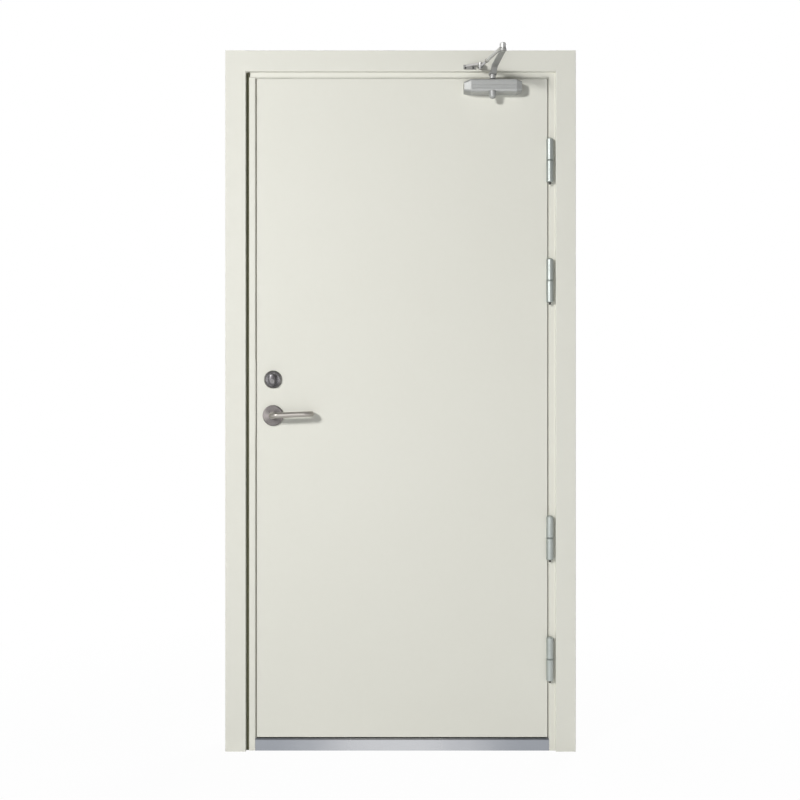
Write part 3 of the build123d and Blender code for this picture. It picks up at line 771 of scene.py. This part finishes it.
# %% Thread and locknut
THREAD_PITCH, THREAD_LENGTH = 1.5, 46.0
THREAD_LOW, THREAD_HIGH = 3.1, 3.85
THREAD_STEPS, THREAD_SIDES = 260, 28
NUT_FLATS, NUT_SIDES = 5.6, 72
NUT_RINGS = np.array([
    # largest radius, place along the nut
    (0.0, 0.0), (5.0, 0.0), (5.6, 0.0), (6.2, 0.7), (7.0, 1.1),
    (7.0, 4.4), (6.2, 4.8), (5.6, 5.5), (5.0, 5.5), (0.0, 5.5),
])
NUT_GAP = 0.2
SHOE_EYE_RADIUS = 8.0
TUBE_SHARE = 0.68


def thread(length):
    """Radius = low + depth w, where w is a wave of pitch p that turns with the angle, w = (1 +
    cos(2 pi s / p - a)) / 2, and dies away at both ends, where the surface closes in the rod."""
    place = np.linspace(0.0, length, THREAD_STEPS)[:, None]
    angle = around(THREAD_SIDES)
    wave = 0.5 + 0.5 * np.cos(2.0 * np.pi * place / THREAD_PITCH - angle)
    fade = np.clip(np.minimum(place, length - place) / THREAD_PITCH, 0.0, 1.0)
    radius = THREAD_LOW + (THREAD_HIGH - THREAD_LOW) * wave * fade
    radius[[0, -1]] = 0.0
    return about_axis(radius, place, angle)


def locknut():
    """Radius = the smaller of the hexagon f / cos(a mod 60 - 30 degrees) and the ring's own radius,
    so that the end rings bevel the six corners."""
    angle = around(NUT_SIDES)
    hexagon = NUT_FLATS / np.cos(np.mod(angle, np.pi / 3.0) - np.pi / 6.0)
    return about_axis(np.minimum(hexagon, NUT_RINGS[:, :1]), NUT_RINGS[:, 1:], angle)


rod_low, rod_high = corners("forearm_rod")
elbow = centre("elbow_pin")
elbow[2] = centre("forearm_tube")[2]
shoe_eye = np.array([rod_low[0] + SHOE_EYE_RADIUS, rod_high[1] - SHOE_EYE_RADIUS, elbow[2]])
forearm_run = shoe_eye - elbow
forearm_way = forearm_run / np.linalg.norm(forearm_run)
tube_end = elbow + TUBE_SHARE * forearm_run
nut_start = tube_end + NUT_GAP * forearm_way
make_piece("forearm_thread", placed(thread(THREAD_LENGTH), [tube_end], UP, forearm_way),
           "forearm", arm_steel)
make_piece("forearm_locknut", placed(locknut(), [nut_start], UP, forearm_way),
           "forearm", lever_steel)

# %% [markdown]
# ## Hinge rings and tips
# A lift-off hinge carries the leaf on a thin bearing ring between its two knuckles. The top of the
# barrel has a low dome, and the end of the pin shows below, in dark steel that is painted shade.
# All are turned shapes. The ring and the pin belong to the frame half, and the dome swings with the
# leaf.

# %% Hinge rings and tips
RING_BORE, RING_PROUD, RING_HALF = 5.3, 0.1, 0.44
TIP_SHARE, TIP_HEIGHT, TIP_SEAT, TIP_STEPS = 0.78, 2.6, 0.5, 7
PIN_END_RADIUS, PIN_END_LENGTH, PIN_END_BEVEL = 3.4, 7.0, 1.0
leaf_hinges, frame_hinges = hinge_boxes("leaf"), hinge_boxes("frame")
barrel_radius = 0.5 * (leaf_hinges[0, 1, 0] - leaf_hinges[0, 0, 0])
barrel_x, barrel_y = leaf_hinges[0, 0, :2] + barrel_radius
hinge_tops, hinge_feet = leaf_hinges[:, 1, 2], frame_hinges[:, 0, 2]
hinge_splits = 0.5 * (hinge_tops + hinge_feet)

ring_profile = [
    (RING_BORE, -RING_HALF), (barrel_radius, -RING_HALF), (barrel_radius + RING_PROUD, 0.0),
    (barrel_radius, RING_HALF), (RING_BORE, RING_HALF), (RING_BORE, -RING_HALF),
]
tip_radius = TIP_SHARE * barrel_radius
tip_angle = np.linspace(0.0, 0.5 * np.pi, TIP_STEPS)
tip_dome = np.column_stack([tip_radius * np.cos(tip_angle), TIP_HEIGHT * np.sin(tip_angle)])
tip_profile = [(0.0, -TIP_SEAT), (tip_radius, -TIP_SEAT), *tip_dome.tolist()]
pin_end_profile = [
    (0.0, -TIP_SEAT), (PIN_END_RADIUS, -TIP_SEAT),
    (PIN_END_RADIUS, PIN_END_LENGTH - PIN_END_BEVEL),
    (PIN_END_RADIUS - PIN_END_BEVEL, PIN_END_LENGTH), (0.0, PIN_END_LENGTH),
]
split_places, top_places, foot_places = (
    points(barrel_x, barrel_y, z) for z in (hinge_splits, hinge_tops, hinge_feet))
make_piece("hinge_rings", placed(turned_shape(ring_profile), split_places, RIGHT, UP),
           "frame", hinge_steel)
make_piece("hinge_upper_tips", placed(turned_shape(tip_profile), top_places, RIGHT, UP),
           "leaf", hinge_steel)
# the pin ends' dark colour is painted shade
make_piece("hinge_pin_ends", placed(turned_shape(pin_end_profile), foot_places, RIGHT, DOWN),
           "frame", dark_steel_painted_shade)

# %% [markdown]
# ## Lock and lever fittings
# The end of the lock cylinder stands out of its guard ring as an upright oval with rounded edges,
# and the keyed plug is a low round boss in its lower half, with the slot for the key. The oval
# could be a stretched disc, but then its ends would be too pointed, so it is a family of
# superellipse rings that draw in towards the front. The slot is a rounded bar whose dark colour is
# painted shade of the keyway. The lever is held on its square spindle by a small grub screw from
# below.

# %% Lock noses and rounded bars
NOSE_HALF_WIDE, NOSE_HALF_HIGH, NOSE_REACH = 11.0, 18.0, 14.0
NOSE_SQUARENESS, NOSE_SIDES = 0.8, 64
NOSE_RINGS = np.array([
    # inset from the full oval in millimetres, share of the reach
    (11.0, -0.2), (0.0, -0.2), (0.0, 0.7), (0.6, 0.86), (1.7, 0.96), (3.2, 1.0), (11.0, 1.0),
])
BAR_SQUARENESS, BAR_SIDES = 0.5, 48
BAR_SIZES = np.array([0.0, 0.9, 1.0, 1.0, 0.9, 0.0])[:, None]
BAR_EASE, BAR_EASE_SHARE = 0.6, 0.2
GROOVE_NARROWNESS = 3.0


def lock_nose():
    """Rings x = (w - i) |cos a|^q, z = (h - i) |sin a|^q with the signs of cos and sin, where the
    inset i grows towards the front; the first and last rings close to a line across the flat."""
    angle = around(NOSE_SIDES)
    wide, high = superellipse(angle, NOSE_SQUARENESS)
    inset, share = NOSE_RINGS.T[:, :, None]
    right, up = (NOSE_HALF_WIDE - inset) * wide, (NOSE_HALF_HIGH - inset) * high
    return np.stack([right, up, NOSE_REACH * share + 0.0 * angle], axis=-1)


def rounded_bar(half_wide, half_deep, groove, length):
    """Rounded bar: right = w |cos a|^q and up = d |sin a|^q with the signs of cos and sin, with a
    groove g exp(-(3 right / w)^2) sunk into the face where up is positive, carried along out and
    closed at its ends."""
    angle = around(BAR_SIDES)
    right, up = np.array([[half_wide], [half_deep]]) * superellipse(angle, BAR_SQUARENESS)
    sunk = groove * np.exp(-(GROOVE_NARROWNESS * right / half_wide) ** 2)
    up = up - np.where(np.sin(angle) > 0.0, sunk, 0.0)
    ease = min(BAR_EASE, BAR_EASE_SHARE * length)
    along = np.array([0.0, 0.0, ease, length - ease, length, length])[:, None]
    return np.stack([BAR_SIZES * right, BAR_SIZES * up, along + 0.0 * angle], axis=-1)


print("nose grid:", lock_nose().shape)

# %% Lock ends and grub screws
# radius and height of each ring, from foot to face and from face to foot
PLUG_PROFILE = [(0.0, -1.0), (6.6, -1.0), (6.6, 0.7), (6.2, 1.1), (0.0, 1.1)]
GRUB_PROFILE = [(0.0, -0.8), (1.3, -0.8), (1.4, 0.3), (2.3, 0.3), (2.6, 0.0), (2.6, -1.5),
                (0.0, -1.5)]
PLUG_DROP = 5.5
SLOT_HALF_WIDE, SLOT_HALF_HIGH, SLOT_DEEP = 0.7, 4.4, 1.6
SLOT_FACE = 1.15
HUB_RADIUS, HUB_SCREW_SETBACK = 11.0, 7.5
lock_x, _, lock_z = centre("lock_cylinder")
plug_z = lock_z - PLUG_DROP
key_slot = rounded_bar(SLOT_HALF_WIDE, SLOT_HALF_HIGH, 0.0, SLOT_DEEP)

for side, out, corner in (("front", FRONT, 0), ("back", BACK, 1)):
    collar_y = corners(f"{side}_lock_collar")[corner][1]
    nose_y = collar_y + out[1] * NOSE_REACH
    slot_y = nose_y + out[1] * (SLOT_FACE - SLOT_DEEP)
    nose_place, plug_place = points(lock_x, collar_y, lock_z), points(lock_x, nose_y, plug_z)
    make_piece(f"{side}_lock_nose", placed(lock_nose(), nose_place, RIGHT, out),
               "leaf", nose_steel)
    make_piece(f"{side}_lock_plug", placed(turned_shape(PLUG_PROFILE), plug_place, RIGHT, out),
               "leaf", plug_steel)
    # the key slot's dark colour is painted shade of the keyway
    make_piece(f"{side}_key_slot", placed(key_slot, points(lock_x, slot_y, plug_z), RIGHT, out),
               "leaf", dark_steel_painted_shade)

lever_x, _, lever_z = centre("front_lever_rose")
grub_y = [corners("front_lever_rose")[0][1] - HUB_SCREW_SETBACK,
          corners("back_lever_rose")[1][1] + HUB_SCREW_SETBACK]
grub_places = points(lever_x, grub_y, lever_z - HUB_RADIUS)
make_piece("lever_grub_screws", placed(turned_shape(GRUB_PROFILE), grub_places, RIGHT, DOWN),
           "lever", dark_steel_painted_shade)

# %% [markdown]
# ## Seals
# A soft seal lies in the slot beside the lock-side ledge: a bulb with a groove down its face. It
# stands for the plain strip of the construction model. Thin pale seals also line the gap round the
# leaf, which is why that gap reads as a soft grey line and not as a black one. A fine dark strip
# lies along the joint of the head and the lock jamb; its colour is painted shade, the shadow line
# of the joint. A flat strip would do for each, but a rounded profile, carried along a straight run,
# catches the light along its edge as a soft seal does.

# %% Slot seal
SEAL_EASE, SEAL_GROOVE = 0.1, 1.6
seal_low, seal_high = corners("lock_side_seal")
seal_x, seal_y, _ = centre("lock_side_seal")
half_wide, half_deep, half_long = 0.5 * (seal_high - seal_low) - SEAL_EASE
slot_bulb = rounded_bar(half_wide, half_deep, SEAL_GROOVE, 2.0 * half_long)
slot_start = points(seal_x, seal_y, seal_low[2] + SEAL_EASE)
# the seal's dark olive colour is painted shade of the slot
lock_seal = make_piece("slot_bulb_seal", placed(slot_bulb, slot_start, LEFT, UP),
                       "frame", seal_rubber)
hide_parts("lock_side_seal")

# %% Gap seals and joint bead
# half width, half thickness and groove of each kind of strip
GAP_SEAL = (3.6, 1.25, 0.5)
HEAD_SEAL = (3.6, 1.9, 0.5)
STRIKE_SEAL = (2.6, 1.25, 0.5)
JOINT_SHADE_LINE = (0.6, 0.3, 0.0)
GAP_SEAL_BACK, HEAD_SEAL_BACK, STRIKE_SEAL_BACK = 7.5, 4.4, 4.4
HINGE_CLEAR, STRIKE_CLEAR = 54.0, 3.0


def strips(name, kind, starts, lengths, across, out, material):
    """Strips of one kind and several lengths along one direction, joined in one piece."""
    runs = [placed(rounded_bar(*kind, length), [start], across, out)
            for start, length in zip(starts, lengths)]
    return make_piece(name, np.concatenate(runs), "frame", material)


leaf_gap = frame_plate_x - leaf_plate_x
sill_top_z, wall_top_z = skin_low[2] - leaf_gap, skin_high[2] + leaf_gap
gap_seal_y = skin_low[1] + GAP_SEAL_BACK
strike_low, strike_high = corners("strike_plate")
strike_foot_z, strike_top_z = strike_low[2] - STRIKE_CLEAR, strike_high[2] + STRIKE_CLEAR

lock_feet, lock_tops = np.array([(sill_top_z, strike_foot_z), (strike_top_z, wall_top_z)]).T
lock_starts = points(lock_wall_x + GAP_SEAL[1], gap_seal_y, lock_feet)
strips("lock_gap_seals", GAP_SEAL, lock_starts, lock_tops - lock_feet, FRONT, UP, pale_seal)

strike_starts = points(lock_wall_x + STRIKE_SEAL[1], skin_low[1] + STRIKE_SEAL_BACK, strike_foot_z)
strips("strike_gap_seal", STRIKE_SEAL, strike_starts, [strike_top_z - strike_foot_z],
       FRONT, UP, pale_seal)

head_starts = points(lock_wall_x, skin_low[1] + HEAD_SEAL_BACK, wall_top_z - HEAD_SEAL[1])
strips("head_gap_seal", HEAD_SEAL, head_starts, [frame_plate_x - lock_wall_x],
       FRONT, RIGHT, pale_seal)

hinge_ends = np.sort(np.concatenate(
    [[sill_top_z], hinge_splits - HINGE_CLEAR, hinge_splits + HINGE_CLEAR, [wall_top_z]]))
hinge_starts = points(frame_plate_x - GAP_SEAL[1], gap_seal_y, hinge_ends[::2])
strips("hinge_gap_seals", GAP_SEAL, hinge_starts, hinge_ends[1::2] - hinge_ends[::2],
       BACK, UP, pale_seal)

# a thin dark strip along the head joint: painted shade
joint_starts = points(seal_high[0], corners("threshold")[0][1], wall_top_z)
strips("head_joint_shade_line", JOINT_SHADE_LINE, joint_starts, [lock_wall_x - seal_high[0]],
       UP, RIGHT, joint_painted_shade)
